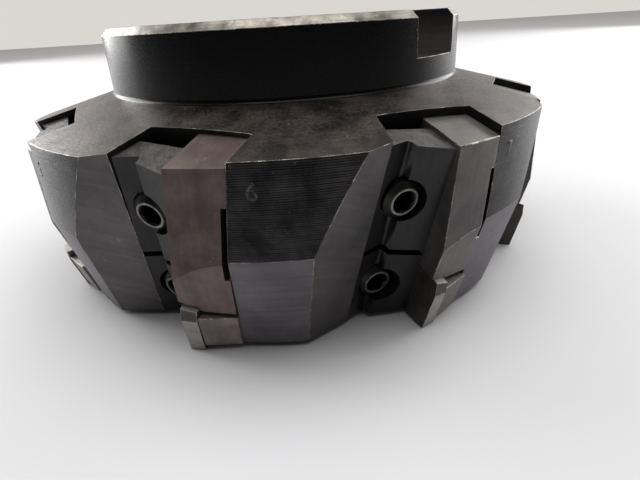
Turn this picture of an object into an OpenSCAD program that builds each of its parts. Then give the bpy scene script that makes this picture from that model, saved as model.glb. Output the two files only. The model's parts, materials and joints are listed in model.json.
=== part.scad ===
// Indexable face mill, wedge and cassette type, 125 mm cutting diameter.
// Millimetres, +Z up. The origin is on the spindle axis, level with the insert tips.
// Eight stations stand around the axis. Each has a cassette, an insert on a seat,
// and two wedges with their screws, in one tilted pocket.

/* [Body] */
// radius of the body across the teeth
body_r = 66; // [65.5:0.25:66.5]
// height of the cutter from the insert tips to the hub face
total_h = 60.5; // [59:0.5:62]
// radius of the hub
hub_r = 45; // [43.5:0.5:46]
// height at which the hub stands on the shoulder
hub_z = 46; // [45.5:0.25:47]
// height of the outer edge of the shoulder
shoulder_z = 40.4; // [40:0.1:41]
// height at which the cylinder of the teeth turns into the cone
cone_z = 22.6; // [21.6:0.2:23.4]
// angle of the lower cone of the teeth from the axis, and of the cutting edges
cone_angle = 15; // [14:0.25:16]
// height of the underside of the teeth above the insert tips
tooth_z = 1.2; // [1:0.05:1.4]
// chamfer around the top of the hub
hub_chamfer = 1.5; // [0.5:0.25:2.5]
// fillet where the hub stands on the shoulder
hub_fillet = 1; // [0.6:0.1:1.4]

/* [Arbor seat] */
// radius of the arbor bore
bore_r = 20; // [18:0.5:22]
// radius of the recess for the arbor screw
recess_r = 28; // [26:0.5:29]
// height of the shoulder that the arbor screw bears on
recess_z = 29; // [27:0.5:31]
// radius of the shallow dish in the underside
dish_r = 38; // [35:0.5:39]
// depth of the shallow dish
dish_depth = 3; // [1:0.25:4]
// width of the two driving slots
slot_w = 16.4; // [14:0.1:18]
// depth of the two driving slots
slot_depth = 9.1; // [7:0.1:10]
// direction of the driving slots around the axis
slot_angle = 47.1; // [45:0.1:49]

/* [Stations] */
// number of stations
station_count = 8; // [8:1:8]
// direction of the first station, from -Y toward +X
first_angle = -24.2; // [-30:0.2:-20]
// outward lean of the pockets
pocket_lean = 14.6; // [14.2:0.1:15]
// sideways tilt of the pockets, the axial rake
pocket_tilt = 6.8; // [6.3:0.1:7.3]
// distance of the pocket floor from the axis, at the height of the tips
floor_d = 43.1; // [42.8:0.1:43.5]
// offset of the rake plane from the station's direction, at the height of the tips
rake_offset = 1.4; // [1.1:0.1:1.7]
// distance of the gullet faces from the origin
gullet_d = 47.3; // [46.8:0.1:47.8]
// turn of the gullet faces about the axis
gullet_turn = 14; // [13:0.25:15]
// lean of the gullet faces
gullet_lean = 15.25; // [14.5:0.25:16]

/* [Cassette] */
// thickness of the cassette
cassette_t = 10.3; // [10:0.1:10.6]
// how far the cassette's front face stands in front of the rake plane
cassette_proud = 0.4; // [0.2:0.05:0.6]
// step of the cassettes' tops below the shoulder
cassette_step = 1.75; // [1.4:0.05:2]
// the same at the first station, which holds a replacement
cassette_step_1 = 0.95; // [0.8:0.05:1.4]
// width of the chamfer at the lower front corner of the first cassette
cassette_chamfer = 2; // [1:0.1:2.4]
// height of the cassette's underside above the insert's middle
under_z = 5.35; // [5.2:0.05:5.5]
// slope of the cassette's underside
under_angle = 1.5; // [0:0.5:3]
// width of the relief along the cassette's rear edge
relief_w = 1; // [0.6:0.1:1.4]
// depth of the relief
relief_depth = 3.5; // [2:0.25:5]

/* [Insert seat] */
// gap between the cassette and the insert seat
seat_drop = 1; // [0.8:0.05:1.2]
// step of the seat's outer face behind the insert's flank
seat_step = 0.25; // [0.1:0.05:0.5]
// slope of the seat's outer face behind the insert
seat_angle = 21; // [18:0.5:24]

/* [Wedges] */
// width of the wedges where they meet the pocket floor
wedge_w = 10.85; // [10.6:0.05:11]
// angle of the wedges
wedge_angle = 12.6; // [12:0.1:13.5]
// height of the split between the wedges, along the pocket
wedge_split = 20.1; // [19.8:0.1:20.4]
// gap between the two wedges
split_gap = 1.3; // [1:0.1:1.6]
// gap under the wedges when they are tight
wedge_gap = 3; // [2.6:0.1:3.4]
// height of the upper wedge's square end along the pocket
wedge_top = 42.5; // [42:0.1:42.8]
// distance of the wedges' outer face from the pocket floor, at the left edge
wedge_out_left = 10.3; // [10:0.05:10.6]
// distance of the same face from the pocket floor, at the bottom of the groove
wedge_out_groove = 8.5; // [8.3:0.05:8.8]
// distance of the same face from the pocket floor, at the crease beside the groove
wedge_out_crease = 10.6; // [10.3:0.05:10.8]
// distance of the same face from the pocket floor, at the rake plane
wedge_out_right = 12.5; // [12.2:0.05:12.8]
// lean of the upper wedge's outer face toward the pocket floor
wedge_lean = 2.2; // [1.5:0.1:3]
// place of the crease in front of the rake plane
crease_x = 7.6; // [7.4:0.1:7.9]
// width of the groove from its bottom to the crease
groove_w = 0.9; // [0.7:0.1:1.2]
// clearance between pieces that bear on each other
seat_gap = 0.02; // [0.01:0.005:0.03]

/* [Wedge screws] */
// radius of the screws
screw_r = 4; // [3.5:0.1:4]
// radial clearance around the screws
screw_gap = 0.05; // [0.03:0.01:0.08]
// width of the hexagon socket across its flats
socket_af = 4; // [3:0.5:4]
// depth of the hexagon socket
socket_depth = 5; // [3:0.5:6]
// height of the upper screw along the pocket
upper_screw_z = 31.7; // [31.3:0.1:32.2]
// height of the lower screw along the pocket
lower_screw_z = 11.4; // [11.1:0.1:11.7]
// distance of the screws in front of the rake plane
screw_x = 7.5; // [7.3:0.1:7.6]

/* [Inserts] */
// length of the insert's edge
insert_l = 12.7; // [12.6:0.05:12.8]
// thickness of the insert
insert_t = 3.18; // [3:0.06:3.3]
// clearance angle of the insert
insert_clearance = 11; // [10:0.5:12]
// distance of the insert's centre from the axis, along the rake plane
insert_d = 58.1; // [57.9:0.05:58.2]
// half of the span between opposite wiper flats
wiper_half = 7.06; // [7:0.02:7.1]

/* [Hidden] */
$fn = 96;
shoulder_slope = (hub_z - shoulder_z) / (body_r - hub_r);
tooth_r = body_r - (cone_z - tooth_z) * tan(cone_angle);
socket_r = socket_af / 2 / cos(30);
wedge_slope = tan(wedge_angle);
// half of the insert's edge, the distance from its centre to each side
insert_h = insert_l / 2;
// longer than any cut, for the blocks that cut the pieces to length
far = 90;
// depth of the pocket's cut, past the body's skin
pocket_out = 25;
// chamfers at the ends of the bore and of the recess
bore_chamfer = 1;
// lower facet of the cassettes and of the first one: turn, lean and distance from the origin
facet = [11.4, 16.4, 57.3];
facet_1 = [12.2, 13.1, 59.3];
// lean of the chamfer at the first cassette's lower front corner
chamfer_lean = 27;
// where the relief slit starts along the pocket, and its length
relief_z = 24.4;
relief_l = 13.9;
// how far the screws stand out of the pocket floor, and how far they go in
upper_screw_out = 10.6;
lower_screw_out = 9.8;
screw_in = 9;
// how far the threaded holes go in, and how far out they cut the pocket's left wall
thread_in = 11;
thread_out = 4;
// ends of a screw: radius of the flat ring, height of the chamfer, mouth of the socket
screw_ring_r = 2.9;
screw_ring_h = 0.95;
socket_mouth_r = 2.4;
socket_mouth_h = 0.5;
// counterbore of a wedge's hole
mouth_r = 4.4;
mouth_depth = 2.4;
// step of the lower wedge, below the insert's upper edge
step_drop = 0.35;
// the seat's ledge behind the insert's inner side, and its gap to the insert
ledge_gap = 0.06;

cutter_body();
for (k = [1:station_count]) {
    cassette(k);
    insert(k);
    insert_seat(k);
    cassette_wedge(k);
    cassette_wedge_screw(k);
    insert_wedge(k);
    insert_wedge_screw(k);
}

// ---- frames ----

// the frame of station k: x along the trail of the cut, -y outward
module at_station(k) {
    rotate([0, 0, first_angle + 360 / station_count * (k - 1)]) children();
}

// the pocket's frame: x = 0 is the rake plane, y = 0 the pocket floor, z runs along the pocket
module in_pocket() {
    translate([rake_offset, -floor_d, 0]) rotate([pocket_lean, pocket_tilt, 0]) children();
}

// the insert's frame: its origin is the middle of the rake face and x goes into the insert
module in_insert() {
    translate([rake_offset, -insert_d, 0]) rotate([0, pocket_tilt, 0])
        translate([0, 0, wiper_half]) children();
}

// the same, turned so that z is square to the upper edge and -y to the main cutting edge
module in_edges() {
    in_insert() rotate([cone_angle, 0, 0]) children();
}

// all that lies further out than d, in a direction turned about the axis and leaned down
module beyond(turn, lean, d) {
    rotate([lean, 0, turn]) translate([-far, -d - far, -far]) cube([2 * far, far, 2 * far]);
}

// ---- lathe shapes ----

// a disc of the body's radius from height z up to the shoulder, lowered by drop
module under_shoulder(z, drop) {
    inner_r = hub_r - 12;
    rotate_extrude() polygon([
        [0, z],
        [body_r, z],
        [body_r, shoulder_z - drop],
        [inner_r, shoulder_z - drop + shoulder_slope * (body_r - inner_r)],
        [0, shoulder_z - drop + shoulder_slope * (body_r - inner_r)]
    ]);
}

// the turned blank of the body, with its bore and recess
module blank() {
    rotate_extrude() polygon([
        [dish_r, tooth_z],
        [tooth_r, tooth_z],
        [body_r, cone_z],
        [body_r, shoulder_z],
        for (a = [270:-18:180]) [
            hub_r + hub_fillet * (1 + cos(a)),
            hub_z + hub_fillet * (1 - shoulder_slope + sin(a))
        ],
        [hub_r, total_h - hub_chamfer],
        [hub_r - hub_chamfer, total_h],
        [bore_r + bore_chamfer, total_h],
        [bore_r, total_h - bore_chamfer],
        [bore_r, recess_z + bore_chamfer],
        [bore_r + bore_chamfer, recess_z],
        [recess_r, recess_z],
        [recess_r, tooth_z + dish_depth + bore_chamfer],
        [recess_r + bore_chamfer, tooth_z + dish_depth],
        [dish_r - dish_depth, tooth_z + dish_depth]
    ]);
}

// ---- cutter body ----

module pocket() {
    left = wedge_w + pocket_out * wedge_slope;
    in_pocket() translate([0, 0, -far / 4]) linear_extrude(height = far) polygon([
        [-wedge_w, 0],
        [cassette_t, 0],
        [cassette_t, -pocket_out],
        [-left, -pocket_out]
    ]);
}

// the chip space: one flat face across the rear of the tooth ahead of the pocket
module gullet() {
    intersection() {
        beyond(gullet_turn, gullet_lean, gullet_d);
        in_pocket() translate([-far - wedge_w / 2, -far, -far]) cube([far, 2 * far, 2 * far]);
    }
}

// a round hole or pin across the pocket: it starts at y = -out and is l long, inward
module across(z, out, l, r) {
    in_pocket() translate([-screw_x, -out, z]) rotate([-90, 0, 0]) cylinder(r = r, h = l);
}

module driving_slots() {
    rotate([0, 0, slot_angle]) translate([-slot_w / 2, -body_r, total_h - slot_depth])
        cube([slot_w, 2 * body_r, slot_depth + 1]);
}

module cutter_body() {
    color("#37383b") difference() {
        blank();
        for (k = [1:station_count]) at_station(k) {
            pocket();
            gullet();
            across(upper_screw_z, thread_out, thread_in + thread_out, screw_r + screw_gap);
            across(lower_screw_z, thread_out, thread_in + thread_out, screw_r + screw_gap);
        }
        driving_slots();
    }
}

// ---- cassette ----

// all that lies below a height above the insert's middle, sloping down toward the rear
module below(z, slope) {
    in_edges() translate([0, 0, z]) rotate([0, slope, 0])
        translate([-far / 2, -far, -far]) cube([far, 2 * far, far]);
}

// all that lies below the cassette: over the insert it follows the insert's upper flank
module cassette_under() {
    below(under_z, under_angle);
    difference() {
        below(insert_h + seat_gap, insert_clearance);
        in_edges() translate([insert_t + seat_gap, -far, -far]) cube(2 * far);
    }
}

// the chamfer where the front face of the first cassette meets its underside
module cassette_corner() {
    in_edges() translate([cassette_chamfer, 0, insert_h]) rotate([0, chamfer_lean, 0])
        translate([-far / 2, -far, -far]) cube([far, 2 * far, far]);
}

// the slit along the rear edge of the cassette, open at its outer face
module cassette_relief() {
    in_pocket() translate([cassette_t - relief_w, -far, relief_z])
        cube([relief_w + 1, far, relief_l]);
}

module cassette(k) {
    cut = k == 1 ? facet_1 : facet;
    color(k == 1 ? "#5c4c4c" : "#414043") at_station(k) difference() {
        intersection() {
            in_pocket() translate([-cassette_proud, -far / 2, 0])
                cube([cassette_proud + cassette_t - seat_gap, far / 2 - seat_gap, far]);
            under_shoulder(0, k == 1 ? cassette_step_1 : cassette_step);
        }
        beyond(cut[0], cut[1], cut[2]);
        cassette_under();
        if (k == 1) cassette_corner();
        difference() {
            cassette_relief();
            cylinder(r = body_r - relief_depth, h = far);
        }
    }
}

// ---- insert and its seat ----

// one side of the insert at distance h from its middle, with the clearance angle
module flank_cut(h) {
    translate([0, 0, h]) rotate([0, insert_clearance, 0])
        translate([-insert_t, -far / 2, 0]) cube([3 * insert_t, far, far / 2]);
}

module insert(k) {
    color("#8c8885") at_station(k) difference() {
        in_insert() translate([0, -insert_l, -insert_l]) cube([insert_t, 2 * insert_l, 2 * insert_l]);
        for (i = [0:3]) in_edges() rotate([90 * i, 0, 0]) flank_cut(insert_h);
        for (i = [0:3]) in_insert() rotate([90 * i, 0, 0]) flank_cut(wiper_half);
    }
}

// all that lies above the seat, in step with the underside of the cassette
module seat_over() {
    in_edges() translate([0, 0, under_z - seat_drop]) rotate([0, under_angle, 0])
        translate([-far / 2, -far, 0]) cube([far, 2 * far, far]);
}

// all that lies outside the seat's outer face
module seat_beyond() {
    face_h = insert_h - seat_step - insert_t * tan(insert_clearance);
    in_edges() rotate([90, 0, 0]) translate([insert_t, 0, face_h])
        rotate([0, seat_angle, 0]) translate([-far / 2, -far, 0]) cube([far, 2 * far, far]);
}

module insert_seat(k) {
    color(k == 1 ? "#5c504e" : "#454447") at_station(k) difference() {
        intersection() {
            in_pocket() translate([seat_gap, -far / 2, -far / 4])
                cube([cassette_t - 2 * seat_gap, far / 2 - seat_gap, far]);
            under_shoulder(tooth_z, 0);
        }
        seat_over();
        seat_beyond();
        in_edges() translate([-far, -far + insert_h + ledge_gap, -far / 2])
            cube([far + insert_t + seat_gap, far, far]);
    }
}

// ---- wedges ----

// the space between the pocket's left wall and a plane at x = right
module wedge_space(right) {
    left = wedge_w + pocket_out * wedge_slope;
    in_pocket() translate([0, 0, -far / 4]) linear_extrude(height = far) polygon([
        [right - seat_gap, -wedge_gap],
        [-wedge_w - wedge_gap * wedge_slope + seat_gap, -wedge_gap],
        [-left + seat_gap, -pocket_out],
        [right - seat_gap, -pocket_out]
    ]);
}

// all that lies inside the wedges' outer face: it slopes in to a groove beside the crease
module wedge_face(lean) {
    in_pocket() translate([0, 0, wedge_split]) rotate([-lean, 0, 0]) translate([0, 0, -far / 2])
        linear_extrude(height = far) polygon([
            [0, 0],
            [-far, 0],
            [-far, -wedge_out_left],
            [-wedge_w - wedge_out_left * wedge_slope, -wedge_out_left],
            [-crease_x - groove_w, -wedge_out_groove],
            [-crease_x - groove_w / 3, -wedge_out_groove - groove_w / 2],
            [-crease_x, -wedge_out_crease],
            [0, -wedge_out_right]
        ]);
}

// a wedge between two heights along the pocket, with a hole for its screw
module wedge(z0, z1, right, lean, screw_z, screw_out) {
    difference() {
        intersection() {
            wedge_space(right);
            wedge_face(lean);
            in_pocket() translate([-far / 2, -far / 2, z0]) cube([far, far, z1 - z0]);
            under_shoulder(tooth_z, 0);
        }
        across(screw_z, pocket_out, pocket_out, screw_r + screw_gap);
        across(screw_z, pocket_out, pocket_out - screw_out + mouth_depth, mouth_r);
    }
}

module cassette_wedge(k) {
    color("#363a40") at_station(k)
        wedge(wedge_split + split_gap / 2, wedge_top, -cassette_proud, wedge_lean,
            upper_screw_z, upper_screw_out);
}

// the lower wedge bears on the insert; a step near its top keeps clear of the cassette
module insert_wedge(k) {
    color("#363a40") at_station(k) difference() {
        wedge(-far / 4, wedge_split - split_gap / 2, 0, 0, lower_screw_z, lower_screw_out);
        in_edges() translate([-cassette_proud - seat_gap, -far / 2, insert_h - step_drop])
            cube(far);
    }
}

// ---- screws ----

// a wedge screw with its outer end at the origin: it runs along +z
module wedge_screw(l) {
    difference() {
        rotate_extrude() polygon([
            [0, 0],
            [screw_ring_r, 0],
            [screw_r, screw_ring_h],
            [screw_r, l - screw_ring_h],
            [screw_ring_r, l],
            [0, l]
        ]);
        translate([0, 0, -1]) linear_extrude(height = socket_depth + 1) circle(r = socket_r, $fn = 6);
        cylinder(r1 = socket_mouth_r, r2 = socket_af / 2, h = socket_mouth_h);
    }
}

module cassette_wedge_screw(k) {
    color("#2b2b2d") at_station(k) in_pocket()
        translate([-screw_x, -upper_screw_out, upper_screw_z])
        rotate([-90, 0, 0]) wedge_screw(upper_screw_out + screw_in);
}

module insert_wedge_screw(k) {
    color("#2b2b2d") at_station(k) in_pocket()
        translate([-screw_x, -lower_screw_out, lower_screw_z])
        rotate([-90, 0, 0]) wedge_screw(lower_screw_out + screw_in);
}
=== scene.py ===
import json
import math
import bmesh
import bpy
import numpy as np
from mathutils import Matrix, Vector

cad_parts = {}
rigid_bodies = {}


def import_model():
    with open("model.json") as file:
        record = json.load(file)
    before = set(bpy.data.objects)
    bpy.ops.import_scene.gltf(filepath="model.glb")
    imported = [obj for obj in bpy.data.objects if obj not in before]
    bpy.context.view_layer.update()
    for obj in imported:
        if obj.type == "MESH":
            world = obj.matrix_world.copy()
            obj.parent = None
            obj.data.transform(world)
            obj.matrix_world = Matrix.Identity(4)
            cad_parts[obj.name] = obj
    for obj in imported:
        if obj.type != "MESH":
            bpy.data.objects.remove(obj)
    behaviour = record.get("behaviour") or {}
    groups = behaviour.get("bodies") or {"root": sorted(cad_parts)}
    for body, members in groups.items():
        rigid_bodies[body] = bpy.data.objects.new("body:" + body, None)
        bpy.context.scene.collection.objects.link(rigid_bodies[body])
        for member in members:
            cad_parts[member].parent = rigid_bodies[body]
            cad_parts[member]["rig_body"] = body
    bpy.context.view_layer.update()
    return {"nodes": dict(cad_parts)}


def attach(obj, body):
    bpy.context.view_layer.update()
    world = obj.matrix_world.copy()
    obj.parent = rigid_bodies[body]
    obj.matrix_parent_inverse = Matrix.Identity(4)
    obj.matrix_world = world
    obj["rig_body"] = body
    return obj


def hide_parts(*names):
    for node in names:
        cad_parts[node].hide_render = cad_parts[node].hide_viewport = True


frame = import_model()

mm = 0.001
print("stage: frame loaded", len(frame["nodes"]), "nodes")

# where the pockets stand: angles in degrees, lengths in millimetres
station = {
    "count": 8,
    "firstAngle": -24.2,  # from -Y toward +X
    "lean": 14.6,  # outward
    "tilt": 6.8,  # sideways, the axial rake
    "floor": 43.1,  # pocket floor to the axis, level with the tips
    "rake": 1.4,  # rake plane beside the station's direction
    "gulletTurn": 14.0,
    "gulletLean": 15.25,
    "gullet": 47.3,  # gullet face to the origin
}


def turnMatrix(axis, degrees):
    return np.array(Matrix.Rotation(math.radians(degrees), 3, axis))


def pocketFrame(k):
    # a point in the pocket is M p + o: M turns it by the tilt and lean, then around the axis to station k
    around = turnMatrix("Z", station["firstAngle"] + 360 / station["count"] * (k - 1))
    turned = around @ turnMatrix("Y", station["tilt"]) @ turnMatrix("X", station["lean"])
    return turned, around @ np.array([station["rake"], -station["floor"], 0]) * mm


def linear(hexColour):
    # sRGB to linear, channel by channel
    c = np.array([int(hexColour[i:i + 2], 16) for i in (1, 3, 5)]) / 255
    c = np.where(c <= 0.04045, c / 12.92, ((c + 0.055) / 1.055) ** 2.4)
    return (*[float(x) for x in c], 1.0)


def addNode(tree, kind, sets=None, links=None):
    n = tree.nodes.new("ShaderNode" + kind)
    for name, value in (sets or {}).items():
        if isinstance(name, int) or name in n.inputs:
            n.inputs[name].default_value = value
        else:
            setattr(n, name, value)
    for name, source in (links or {}).items():
        tree.links.new(source, n.inputs[name])
    return n


def steelFinish(name, look):
    # one worked steel surface: colour patches, tool marks across one direction, fine grit and pale rubs.
    # "even" is how far the marks are regular lines, like those of a lathe, and not bands of random width
    material = bpy.data.materials.new(name)
    material.use_nodes = True
    tree = material.node_tree
    tree.nodes.clear()
    if look.get("follows") == "pocket":
        place = addNode(tree, "Attribute", {"attribute_name": "pocketPlace"}).outputs["Vector"]
    else:
        place = addNode(tree, "TexCoord").outputs["Object"]
    size = look["patchSize"] * mm
    patches = addNode(tree, "TexNoise", {"Scale": 1 / size, "Detail": 4.0, "Roughness": 0.6},
                      {"Vector": place})
    patchRamp = addNode(tree, "ValToRGB", links={"Fac": patches.outputs["Fac"]})
    stops = ((0.36, look["base"]), (0.66, look["patch"]))
    for stop, (at, colour) in zip(patchRamp.color_ramp.elements, stops):
        stop.position, stop.color = at, linear(colour)
    colour = patchRamp.outputs["Color"]

    marks = look["marks"]  # tool marks: bands of random width around the given spacing
    if marks["across"] == "ring":
        flat = addNode(tree, "VectorMath", {"operation": "MULTIPLY", 1: (1, 1, 0)}, {0: place})
        run = addNode(tree, "VectorMath", {"operation": "LENGTH"}, {0: flat.outputs["Vector"]})
    else:
        run = addNode(tree, "VectorMath", {"operation": "DOT_PRODUCT", 1: marks["across"]}, {0: place})
    band = addNode(tree, "Math", {"operation": "MULTIPLY", 1: 1 / (marks["spacing"] * mm)},
                   {0: run.outputs["Value"]})
    lines = addNode(tree, "TexNoise", {"noise_dimensions": "4D", "Scale": 1.0, "Detail": 2.0},
                    {"W": band.outputs["Value"]})
    slow = addNode(tree, "VectorMath", {"operation": "SCALE", "Scale": 1 / (look["patchSize"] * 2 * mm)},
                   {0: place})
    tree.links.new(slow.outputs["Vector"], lines.inputs["Vector"])
    feed = addNode(tree, "Math", {"operation": "MULTIPLY", 1: 2 * math.pi}, {0: band.outputs["Value"]})
    wave = addNode(tree, "Math", {"operation": "SINE"}, {0: feed.outputs["Value"]})
    even = addNode(tree, "Math", {"operation": "MULTIPLY_ADD", 1: 0.25 * marks["even"]},
                   {0: wave.outputs["Value"]})
    tree.links.new(lines.outputs["Fac"], even.inputs[2])
    shade = addNode(tree, "MapRange", {"From Min": 0.3, "From Max": 0.7, "To Min": 1 - marks["tint"],
                                       "To Max": 1 + marks["tint"]}, {"Value": even.outputs["Value"]})
    tinted = addNode(tree, "VectorMath", {"operation": "SCALE"},
                     {0: colour, "Scale": shade.outputs["Result"]})
    colour = tinted.outputs["Vector"]

    rub = look["rub"]  # pale rubs and specks, where the finish has worn through
    rubs = addNode(tree, "TexNoise", {"Scale": 1 / (rub["size"] * mm), "Detail": 6.0, "Roughness": 0.7},
                   {"Vector": place})
    rubbed = addNode(tree, "MapRange", {"From Min": 1 - rub["share"], "From Max": 1.06 - rub["share"],
                                        "To Min": 0.0, "To Max": rub["strength"]},
                     {"Value": rubs.outputs["Fac"]})
    blend = addNode(tree, "Mix", {"data_type": "RGBA"})
    tree.links.new(rubbed.outputs["Result"], blend.inputs[0])
    tree.links.new(colour, blend.inputs[6])
    blend.inputs[7].default_value = linear(rub["colour"])

    grit = addNode(tree, "TexNoise", {"Scale": 1 / (look["grit"] * mm), "Detail": 3.0}, {"Vector": place})
    rough = addNode(tree, "MapRange", {"From Min": 0.3, "From Max": 0.7, "To Min": look["roughness"][0],
                                       "To Max": look["roughness"][1]}, {"Value": grit.outputs["Fac"]})
    height = addNode(tree, "Math", {"operation": "MULTIPLY_ADD", 1: look["gritHeight"]},
                     {0: grit.outputs["Fac"]})
    lineHeight = addNode(tree, "Math", {"operation": "MULTIPLY", 1: marks["height"]},
                         {0: even.outputs["Value"]})
    tree.links.new(lineHeight.outputs["Value"], height.inputs[2])
    bump = addNode(tree, "Bump", {"Strength": 1.0, "Distance": 0.1 * mm}, {"Height": height.outputs["Value"]})
    gloss = {"Metallic": look["metallic"], "Specular IOR Level": look.get("specular", 0.5)}
    shader = addNode(tree, "BsdfPrincipled", gloss,
                     {"Base Color": blend.outputs[2], "Roughness": rough.outputs["Result"],
                      "Normal": bump.outputs["Normal"]})
    addNode(tree, "OutputMaterial", links={"Surface": shader.outputs["BSDF"]})
    return material


# heights are shares of a tenth of a millimetre; every length is in millimetres
bodyLooks = {
    # black oxide on milled steel: dark and even, a little brown
    "blackOxideMilledSteel": {
        "base": "#1b1a1a", "patch": "#272524", "patchSize": 9, "metallic": 0.4, "roughness": (0.34, 0.5),
        "specular": 0.15,
        "grit": 0.35, "gritHeight": 0.12,
        "marks": {"across": (0, 0, 1), "spacing": 0.6, "even": 0, "tint": 0.12, "height": 0.1},
        "rub": {"size": 7, "share": 0.33, "strength": 0.5, "colour": "#565350"}},
    # the same on the turned hub: glossy, with hardly any marks
    "blackOxideTurnedHub": {
        "base": "#050505", "patch": "#0a0909", "patchSize": 16, "metallic": 0.2, "roughness": (0.2, 0.3),
        "specular": 0.12,
        "grit": 0.5, "gritHeight": 0.05,
        "marks": {"across": (0, 0, 1), "spacing": 0.5, "even": 0.3, "tint": 0.1, "height": 0.06},
        "rub": {"size": 6, "share": 0.28, "strength": 0.4, "colour": "#6b6864"}},
    # the shoulder: turned rings with a brown bloom and pale specks
    "brownedTurnedShoulder": {
        "base": "#1b1716", "patch": "#4a423e", "patchSize": 6, "metallic": 0.6, "roughness": (0.28, 0.5),
        "grit": 0.6, "gritHeight": 0.35,
        "marks": {"across": "ring", "spacing": 0.6, "even": 0.2, "tint": 0.18, "height": 0.2},
        "rub": {"size": 1.4, "share": 0.36, "strength": 0.6, "colour": "#8e867e"}},
    # the teeth's cylinder: fine regular turned lines around the axis
    "turnedToothSteel": {
        "base": "#0c0b0b", "patch": "#2c2a2c", "patchSize": 5, "metallic": 0.5, "roughness": (0.24, 0.36),
        "specular": 0.25, "grit": 0.4, "gritHeight": 0.15,
        "marks": {"across": (0, 0, 1), "spacing": 0.42, "even": 1, "tint": 0.45, "height": 0.6},
        "rub": {"size": 1.6, "share": 0.36, "strength": 0.6, "colour": "#6f6c68"}},
    # the teeth's cone: ground smooth, a shade lighter
    "groundConeSteel": {
        "base": "#5e5b5f", "patch": "#706c70", "patchSize": 12, "metallic": 0.8, "roughness": (0.4, 0.52),
        "grit": 0.4, "gritHeight": 0.08,
        "marks": {"across": (0, 0, 1), "spacing": 0.8, "even": 0, "tint": 0.1, "height": 0.08},
        "rub": {"size": 5, "share": 0.34, "strength": 0.5, "colour": "#757372"}},
    # the gullet faces: milled flat
    "milledGulletSteel": {
        "base": "#4c4b4c", "patch": "#5f5a5c", "patchSize": 10, "metallic": 0.8, "roughness": (0.38, 0.5),
        "grit": 0.35, "gritHeight": 0.1,
        "marks": {"across": (0.3, 0.3, 0.9), "spacing": 0.7, "even": 0, "tint": 0.12, "height": 0.12},
        "rub": {"size": 4, "share": 0.36, "strength": 0.6, "colour": "#83807c"}},
    # the chamfer around the top of the hub: turned, with the oxide half worn off
    "wornHubChamfer": {
        "base": "#4d4b47", "patch": "#a69f94", "patchSize": 5, "metallic": 0.7, "roughness": (0.32, 0.45),
        "grit": 0.4, "gritHeight": 0.3,
        "marks": {"across": (0, 0, 1), "spacing": 0.5, "even": 0.3, "tint": 0.16, "height": 0.1},
        "rub": {"size": 1.8, "share": 0.4, "strength": 0.7, "colour": "#b3aea4"}},
}
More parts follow.
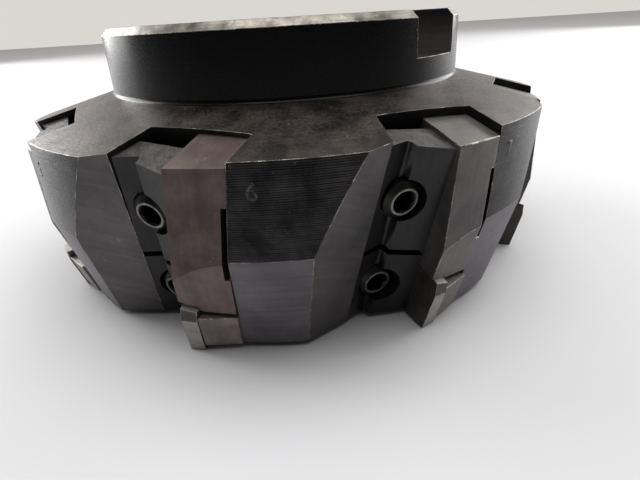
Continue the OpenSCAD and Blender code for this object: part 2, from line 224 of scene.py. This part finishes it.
stationLooks = {
    # the replaced cassette: ground steel with a reddish brown oxide
    "brownOxideCassette": {
        "base": "#463a38", "patch": "#594d4b", "patchSize": 5, "metallic": 0.85, "roughness": (0.34, 0.46),
        "grit": 0.3, "gritHeight": 0.12,
        "marks": {"across": (1, 0, 0), "spacing": 0.9, "even": 0, "tint": 0.1, "height": 0.08},
        "rub": {"size": 4, "share": 0.38, "strength": 0.5, "colour": "#7b6b66"}},
    # its top and its slanted lower facet: the same, painted lighter; on the lower facet this is a painted
    # reflection of the floor
    "paintedLighterBrownOxide": {
        "base": "#5d504e", "patch": "#6f6260", "patchSize": 5, "metallic": 0.8, "roughness": (0.34, 0.46),
        "grit": 0.3, "gritHeight": 0.12,
        "marks": {"across": (1, 0, 0), "spacing": 0.9, "even": 0, "tint": 0.1, "height": 0.08},
        "rub": {"size": 4, "share": 0.38, "strength": 0.5, "colour": "#8b7d78"}},
    # the other cassettes: ground steel, blackened
    "blackenedCassette": {
        "base": "#4c4a4a", "patch": "#63615f", "patchSize": 8, "metallic": 0.6, "roughness": (0.4, 0.52),
        "grit": 0.3, "gritHeight": 0.1,
        "marks": {"across": (1, 0, 0), "spacing": 0.9, "even": 0, "tint": 0.1, "height": 0.08},
        "rub": {"size": 4, "share": 0.38, "strength": 0.5, "colour": "#7c7974"}},
    # their tops and lower facets: the same, painted lighter; on the lower facets this is a painted reflection
    # of the floor
    "paintedLighterCassette": {
        "base": "#5a5857", "patch": "#6e6c69", "patchSize": 8, "metallic": 0.65, "roughness": (0.38, 0.5),
        "grit": 0.3, "gritHeight": 0.1,
        "marks": {"across": (1, 0, 0), "spacing": 0.9, "even": 0, "tint": 0.1, "height": 0.08},
        "rub": {"size": 4, "share": 0.38, "strength": 0.5, "colour": "#8c8984"}},
    # the seats behind the inserts: ground steel, a little brown
    "brownedSeat": {
        "base": "#716967", "patch": "#938885", "patchSize": 5, "metallic": 0.6, "roughness": (0.42, 0.55),
        "grit": 0.3, "gritHeight": 0.12,
        "marks": {"across": (0, 1, 0), "spacing": 0.7, "even": 0, "tint": 0.1, "height": 0.1},
        "rub": {"size": 3, "share": 0.36, "strength": 0.5, "colour": "#8f8983"}},
    # the seats at the other stations: plain ground steel
    "groundSeat": {
        "base": "#646361", "patch": "#7b7975", "patchSize": 5, "metallic": 0.65, "roughness": (0.42, 0.55),
        "grit": 0.3, "gritHeight": 0.12,
        "marks": {"across": (0, 1, 0), "spacing": 0.7, "even": 0, "tint": 0.1, "height": 0.1},
        "rub": {"size": 3, "share": 0.36, "strength": 0.5, "colour": "#95928d"}},
    # the wedges: drawn steel, blackened, satin, with marks along their length
    "blackenedWedge": {
        "base": "#1e1e20", "patch": "#29292b", "patchSize": 8, "metallic": 0.55, "roughness": (0.32, 0.44),
        "grit": 0.3, "gritHeight": 0.08,
        "marks": {"across": (1, 0, 0), "spacing": 0.45, "even": 0, "tint": 0.18, "height": 0.15},
        "rub": {"size": 4, "share": 0.33, "strength": 0.4, "colour": "#6c6c6e"}},
    # the wedges' upper ends: sawn and left rough, with fine pale scratches
    "sawnWedgeEnd": {
        "base": "#343333", "patch": "#545150", "patchSize": 2.2, "metallic": 0.5, "roughness": (0.42, 0.62),
        "grit": 0.4, "gritHeight": 0.9,
        "marks": {"across": (0.8, 0.6, 0), "spacing": 0.4, "even": 0, "tint": 0.25, "height": 0.6},
        "rub": {"size": 0.9, "share": 0.38, "strength": 0.6, "colour": "#85817c"}},
    # the screws: black oxide
    "blackOxideScrew": {
        "base": "#0d0d0d", "patch": "#161616", "patchSize": 3, "metallic": 0.5, "roughness": (0.3, 0.45),
        "grit": 0.3, "gritHeight": 0.15,
        "marks": {"across": (0, 1, 0), "spacing": 0.5, "even": 0, "tint": 0.1, "height": 0.1},
        "rub": {"size": 2, "share": 0.32, "strength": 0.4, "colour": "#4b4a48"}},
    # the flat ring at a screw's outer end: turned bright, then handled
    "brightScrewRing": {
        "base": "#55524e", "patch": "#86827a", "patchSize": 1.6, "metallic": 0.85, "roughness": (0.28, 0.4),
        "grit": 0.25, "gritHeight": 0.3,
        "marks": {"across": (0, 1, 0), "spacing": 0.3, "even": 0, "tint": 0.1, "height": 0.1},
        "rub": {"size": 1, "share": 0.4, "strength": 0.6, "colour": "#c4beb3"}},
    # the inserts: ground cemented carbide, lighter and finer than steel
    "groundCarbide": {
        "base": "#8d8b88", "patch": "#a2a09a", "patchSize": 4, "metallic": 0.65, "roughness": (0.36, 0.48),
        "grit": 0.25, "gritHeight": 0.06,
        "marks": {"across": (0, 0.3, 0.95), "spacing": 0.35, "even": 0, "tint": 0.08, "height": 0.06},
        "rub": {"size": 2.5, "share": 0.36, "strength": 0.5, "colour": "#a19e99"}},
    # the rake faces and the short corner flats of the inserts: painted darker, a painted shade for faces
    # turned away from the light
    "shadedRakeCarbide": {
        "base": "#3d3a38", "patch": "#514f4b", "patchSize": 3, "metallic": 0.6, "roughness": (0.38, 0.5),
        "grit": 0.25, "gritHeight": 0.08,
        "marks": {"across": (0, 0.3, 0.95), "spacing": 0.35, "even": 0, "tint": 0.1, "height": 0.08},
        "rub": {"size": 2, "share": 0.36, "strength": 0.5, "colour": "#8a8680"}},
}
for look in stationLooks.values():
    look["follows"] = "pocket"
# edges rubbed bright by handling and chips: bare steel where the noise is high, dark elsewhere
edgeLooks = {
    "rubbedBodyEdge": {
        "base": "#373533", "patch": "#8d8881", "patchSize": 2.6, "metallic": 0.8, "roughness": (0.3, 0.45),
        "grit": 0.3, "gritHeight": 0.5,
        "marks": {"across": (0, 0, 1), "spacing": 0.8, "even": 0, "tint": 0.15, "height": 0.1},
        "rub": {"size": 1.6, "share": 0.45, "strength": 0.8, "colour": "#b9b2a7"}},
    "rubbedFineEdge": {
        "base": "#4c4844", "patch": "#a19a90", "patchSize": 2, "metallic": 0.8, "roughness": (0.3, 0.45),
        "grit": 0.3, "gritHeight": 0.4,
        "marks": {"across": (0, 0, 1), "spacing": 0.8, "even": 0, "tint": 0.12, "height": 0.1},
        "rub": {"size": 1.4, "share": 0.44, "strength": 0.85, "colour": "#c9c2b5"}},
    # the numerals: steel burnished by the stamp
    "stampedSteel": {
        "base": "#2f2d2c", "patch": "#484543", "patchSize": 1.5, "metallic": 0.6, "roughness": (0.32, 0.45),
        "grit": 0.3, "gritHeight": 0.2,
        "marks": {"across": (0, 0, 1), "spacing": 0.5, "even": 0, "tint": 0.12, "height": 0.1},
        "rub": {"size": 1.2, "share": 0.36, "strength": 0.5, "colour": "#8d8983"}},
}
finishes = {name: steelFinish(name, look)
            for looks in (bodyLooks, stationLooks, edgeLooks) for name, look in looks.items()}
print("stage: finishes", len(finishes))


crease = {"x": -7.6, "reach": 0.25}  # in the pocket's frame, millimetres


def onCrease(name, edge, pocket):
    # the long crease of a wedge, which isn't worn bright
    if not name.startswith(("cassette_wedge_", "insert_wedge_")) or "screw" in name:
        return False
    turned, start = pocketFrame(pocket)
    ends = (np.array([v.co for v in edge.verts]) - start) @ turned / mm
    return bool(np.all(np.abs(ends[:, 0] - crease["x"]) < crease["reach"]))


def wornCopy(name, edgeWidth, materials, faceFinish=None, pocket=None):
    # the CAD node's own surface, merged. An outer edge of over 10 degrees is rubbed to a constant width,
    # and an inner corner of over 25 degrees, or a wedge's crease, stays sharp
    node = frame["nodes"][name]
    mesh = node.data.copy()
    mesh.materials.clear()
    work = bmesh.new()
    work.from_mesh(mesh)
    bmesh.ops.remove_doubles(work, verts=work.verts, dist=0.002 * mm)
    bmesh.ops.dissolve_limit(work, angle_limit=math.radians(0.3), verts=work.verts, edges=work.edges)
    weight = work.edges.layers.float.new("bevel_weight_edge")
    for edge in work.edges:
        angle = math.degrees(edge.calc_face_angle(0))
        if edge.is_convex and angle > 10 and not onCrease(name, edge, pocket):
            edge[weight] = 1 if angle > 25 else 0.45  # a shallow crease is rubbed less
        elif angle > 25 or onCrease(name, edge, pocket):
            edge.smooth = False
    work.to_mesh(mesh)
    work.free()
    for material in materials:
        mesh.materials.append(finishes[material])
    count = len(mesh.polygons)
    normals = np.empty(count * 3)
    centres = np.empty(count * 3)
    points = np.empty(len(mesh.vertices) * 3)
    mesh.polygons.foreach_get("normal", normals)
    mesh.polygons.foreach_get("center", centres)
    mesh.vertices.foreach_get("co", points)
    centres, normals, points = centres.reshape(-1, 3), normals.reshape(-1, 3), points.reshape(-1, 3)
    if pocket:
        # pocketPlace: the point in its pocket's own frame, moved on at each station so that no two look alike
        turned, start = pocketFrame(pocket)
        centres, normals, points = (centres - start) @ turned, normals @ turned, (points - start) @ turned
        moved = (points + pocket * np.array([0.13, 0.07, 0.11])).astype(np.float32)
        mesh.attributes.new("pocketPlace", "FLOAT_VECTOR", "POINT").data.foreach_set("vector", moved.ravel())
    index = np.zeros(count, np.int32)
    if faceFinish:
        index = faceFinish(centres / mm, normals).astype(np.int32)
    mesh.polygons.foreach_set("material_index", index)
    mesh.polygons.foreach_set("use_smooth", np.ones(count, bool))
    piece = bpy.data.objects.new("worn_" + name, mesh)
    bpy.context.scene.collection.objects.link(piece)
    edge = piece.modifiers.new("rubbedEdge", "BEVEL")
    edge.width, edge.segments, edge.limit_method = edgeWidth * mm, 2, "WEIGHT"
    edge.material = len(materials) - 1
    flat = piece.modifiers.new("flatFaces", "WEIGHTED_NORMAL")
    flat.mode, flat.keep_sharp = "FACE_AREA", True
    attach(piece, node["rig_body"])
    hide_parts(name)
    return piece

bodyShape = {"toothRadius": 66, "hubRadius": 45, "hubBase": 46, "hubTop": 60.5, "edge": 0.24}
bodyFinish = {name: i for i, name in enumerate(bodyLooks)}


def bodyFaces(centres, normals):
    # sorts the body's faces by where they are and which way they look
    radius = np.hypot(centres[:, 0], centres[:, 1])
    outward = np.einsum("ij,ij->i", normals[:, :2], centres[:, :2]) / np.maximum(radius, 1e-9)
    up, z = normals[:, 2], centres[:, 2]
    index = np.zeros(len(radius), np.int32)
    hubRadius, toothRadius = bodyShape["hubRadius"], bodyShape["toothRadius"]
    hubBase, hubTop = bodyShape["hubBase"], bodyShape["hubTop"]
    onHub = (radius > hubRadius - 0.5) & (radius < hubRadius + 0.3) & (z > hubBase)
    index[onHub & (outward > 0.9)] = bodyFinish["blackOxideTurnedHub"]
    onShoulder = (radius > hubRadius - 0.6) & (z < hubBase + 0.1)
    index[onShoulder & (up > 0.9)] = bodyFinish["brownedTurnedShoulder"]
    onFillet = (radius > hubRadius - 0.1) & (radius < hubRadius + 1.1) & (np.abs(z - hubBase - 0.3) < 0.7)
    index[onFillet & (outward > 0.2)] = bodyFinish["blackOxideTurnedHub"]
    onTooth = (radius > toothRadius - 0.6) & (np.abs(up) < 0.05)
    index[onTooth & (outward > 0.98)] = bodyFinish["turnedToothSteel"]
    onCone = (radius > 57) & (up < -0.12) & (up > -0.42)
    index[onCone & (outward > 0.85)] = bodyFinish["groundConeSteel"]
    for k in range(station["count"]):
        turned = turnMatrix("Z", station["firstAngle"] + 360 / station["count"] * k + station["gulletTurn"])
        face = turned @ turnMatrix("X", station["gulletLean"]) @ np.array([0, -1, 0])
        onGullet = np.abs(centres @ face - station["gullet"]) < 0.5
        index[onGullet & (normals @ face > 0.9995)] = bodyFinish["milledGulletSteel"]
    onChamfer = (radius > 40) & (z > hubTop - 1.45)
    index[onChamfer & (up > 0.3) & (up < 0.95)] = bodyFinish["wornHubChamfer"]
    return index


wornCopy("cutter_body", bodyShape["edge"], list(bodyLooks) + ["rubbedBodyEdge"], bodyFaces)
print("stage: body")

# the numerals stamped on the teeth, one for each station: lengths in millimetres, the turn in degrees
numeral = {
    "first": 6,  # at station 1
    "height": 3.2,
    "fontSize": 1.37,  # times the height of a digit
    "weight": 0.06,
    "turn": 17.6,  # from the station toward the tooth behind it
    "middle": 35.2,
    "radius": 66.01,
    "depth": 0.06,
}


def stampedNumeral(k):
    curve = bpy.data.curves.new("numeral", "FONT")
    digit = (k + numeral["first"] - 2) % station["count"] + 1
    curve.body, curve.offset = str(digit), numeral["weight"]
    curve.size = numeral["height"] * numeral["fontSize"]
    curve.align_x, curve.align_y = "CENTER", "CENTER"
    shape = bpy.data.objects.new("numeral", curve)
    bpy.context.scene.collection.objects.link(shape)
    bpy.context.view_layer.update()
    mesh = bpy.data.meshes.new_from_object(shape)
    bpy.data.objects.remove(shape)
    work = bmesh.new()
    work.from_mesh(mesh)
    ring = bmesh.ops.extrude_face_region(work, geom=work.faces[:])["geom"]
    bmesh.ops.translate(work, vec=(0, 0, 1), verts=[v for v in ring if isinstance(v, bmesh.types.BMVert)])
    bmesh.ops.recalc_face_normals(work, faces=work.faces)
    work.to_mesh(mesh)
    work.free()
    # wrapped on the tooth: x runs around it, so the angle is start + x / radius; depth is 0 inside it and 1
    # on its skin
    flat = np.empty(len(mesh.vertices) * 3)
    mesh.vertices.foreach_get("co", flat)
    x, y, depth = flat.reshape(-1, 3).T
    radius = numeral["radius"] - numeral["depth"] * (1 - depth)
    start = station["firstAngle"] + 360 / station["count"] * (k - 1) + numeral["turn"]
    angle = math.radians(start) + x / numeral["radius"]
    wrapped = np.stack([radius * np.sin(angle), -radius * np.cos(angle), y + numeral["middle"]], 1) * mm
    mesh.vertices.foreach_set("co", wrapped.ravel())
    mesh.materials.append(finishes["stampedSteel"])
    piece = bpy.data.objects.new(f"numeral_{k}", mesh)
    bpy.context.scene.collection.objects.link(piece)
    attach(piece, frame["nodes"]["cutter_body"]["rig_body"])


for k in range(1, station["count"] + 1):
    stampedNumeral(k)
print("stage: numerals")

screwFinish = ["blackOxideScrew", "brightScrewRing", "blackOxideScrew"]
# the last finish of each piece is on its rubbed edges, "edge" millimetres wide
pieceLooks = {
    "cassette": {"finish": ["blackenedCassette", "paintedLighterCassette", "rubbedFineEdge"], "edge": 0.22,
                 "slot": "cassette_steel"},
    # the inserts' second finish is painted shade on the rake faces and corner flats
    "insert": {"finish": ["groundCarbide", "shadedRakeCarbide", "rubbedFineEdge"], "edge": 0.07,
               "slot": "insert_carbide"},
    "insert_seat": {"finish": ["groundSeat", "rubbedFineEdge"], "edge": 0.15, "slot": "seat_steel"},
    "cassette_wedge": {"finish": ["blackenedWedge", "sawnWedgeEnd", "rubbedFineEdge"], "edge": 0.16,
                       "slot": "wedge_steel"},
    "insert_wedge": {"finish": ["blackenedWedge", "rubbedFineEdge"], "edge": 0.16, "slot": "wedge_steel"},
    "cassette_wedge_screw": {"finish": screwFinish, "edge": 0.08, "slot": "screw_steel"},
    "insert_wedge_screw": {"finish": screwFinish, "edge": 0.08, "slot": "screw_steel"},
}


def wedgeEnds(centres, normals):
    # the square upper ends
    return normals[:, 2] > 0.98


def screwRings(centres, normals):
    # the flat ring at the outer end
    return (normals[:, 1] < -0.98) & (centres[:, 1] < centres[:, 1].min() + 0.3)


def rakeFaces(centres, normals):
    # the rake face, and the narrow flats across the corners, which look between the long sides; these take
    # the painted shade
    away = np.abs(normals[:, 1:]).max(1)
    return (normals[:, 0] < -0.9) | (away < 0.965)


def rubbedFaces(centres, normals):
    # a cassette's two ends, and the lower of its two outer facets, which leans less than the upper one; these
    # are painted lighter, the lower facet as a painted reflection of the floor
    return (np.abs(normals[:, 2]) > 0.5) | ((normals[:, 1] < -0.9) & (normals[:, 2] < 0.15))


faceFinishes = {"cassette": rubbedFaces, "insert": rakeFaces, "cassette_wedge": wedgeEnds,
                "cassette_wedge_screw": screwRings, "insert_wedge_screw": screwRings}
for k in range(1, station["count"] + 1):
    for kind, look in pieceLooks.items():
        finish, slot = look["finish"], look["slot"]
        # the cassettes' second finish is painted lighter on the ends and lower facet, a painted reflection on
        # that facet
        if kind == "cassette" and k == 1:
            finish, slot = ["brownOxideCassette", "paintedLighterBrownOxide", "rubbedFineEdge"], "cassette_steel_brown"
        if kind == "insert_seat" and k == 1:
            finish = ["brownedSeat", "rubbedFineEdge"]
        wornCopy(f"{kind}_{k}", look["edge"], finish, faceFinishes.get(kind), k)
print("stage: stations")

# the floor and the light
stageLook = {"floor": "#cdcdd0", "floorHalf": 3.0, "air": "#eeeae4", "airFront": 0.1, "airBack": 0.82}
floorMesh = bpy.data.meshes.new("floor")
h = stageLook["floorHalf"]
floorMesh.from_pydata([(-h, -h, 0), (h, -h, 0), (h, h, 0), (-h, h, 0)], [], [(0, 1, 2, 3)])
floor = bpy.data.objects.new("floor", floorMesh)
bpy.context.scene.collection.objects.link(floor)
floorPaint = bpy.data.materials.new("matteWhiteLaminate")
floorPaint.use_nodes = True
paint = floorPaint.node_tree.nodes["Principled BSDF"]
paint.inputs["Base Color"].default_value = linear(stageLook["floor"])
paint.inputs["Roughness"].default_value = 0.7
floorMesh.materials.append(floorPaint)

# the air is bright behind the object and dark on the camera's side, as in a room with one pale wall
world = bpy.data.worlds.new("softAir")
world.use_nodes = True
air = world.node_tree
heading = addNode(air, "TexCoord").outputs["Generated"]
toward = addNode(air, "VectorMath", {"operation": "DOT_PRODUCT", 1: (0.1, 0.97, 0.2)}, {0: heading})
fade = addNode(air, "MapRange", {"interpolation_type": "SMOOTHSTEP", "From Min": -0.45, "From Max": 0.45,
                                 "To Min": stageLook["airFront"], "To Max": stageLook["airBack"]},
               {"Value": toward.outputs["Value"]})
air.nodes["Background"].inputs["Color"].default_value = linear(stageLook["air"])
air.links.new(fade.outputs["Result"], air.nodes["Background"].inputs["Strength"])
bpy.context.scene.world = world
lamps = {  # place and aim in metres, size in metres, power in watts
    "ceiling": {"place": (0.1, 0.0, 1.5), "size": 1.3, "power": 16},
    "window": {"place": (1.1, 0.6, 0.45), "size": 0.9, "power": 14},
    "leftWall": {"place": (-1.1, 0.7, 0.45), "size": 0.9, "power": 19},
}
for name, lamp in lamps.items():
    light = bpy.data.lights.new(name, "AREA")
    light.size, light.energy = lamp["size"], lamp["power"]
    holder = bpy.data.objects.new(name, light)
    holder.location = lamp["place"]
    holder.rotation_euler = (Vector((0, 0, 0.03)) - Vector(lamp["place"])).to_track_quat("-Z", "Y").to_euler()
    bpy.context.scene.collection.objects.link(holder)

# the camera stands low and very near: angles in degrees, the rest in millimetres
view = {"place": (-0.75, -136.5, 59.7), "down": 25.4, "left": -3.0, "roll": -3.5, "lens": 26.08, "sensor": 36}
camera = bpy.data.objects.new("camera", bpy.data.cameras.new("camera"))
camera.data.lens, camera.data.sensor_width = view["lens"], view["sensor"]
camera.data.clip_start = 0.01
bpy.context.scene.collection.objects.link(camera)
camera.matrix_world = (
    Matrix.Translation(Vector(view["place"]) * mm)
    @ Matrix.Rotation(math.radians(view["left"]), 4, "Z")
    @ Matrix.Rotation(math.radians(90 - view["down"]), 4, "X")
    @ Matrix.Rotation(math.radians(view["roll"]), 4, "Z"))
bpy.context.scene.camera = camera
bpy.context.scene.view_settings.view_transform = "Standard"
print("stage: camera and light")
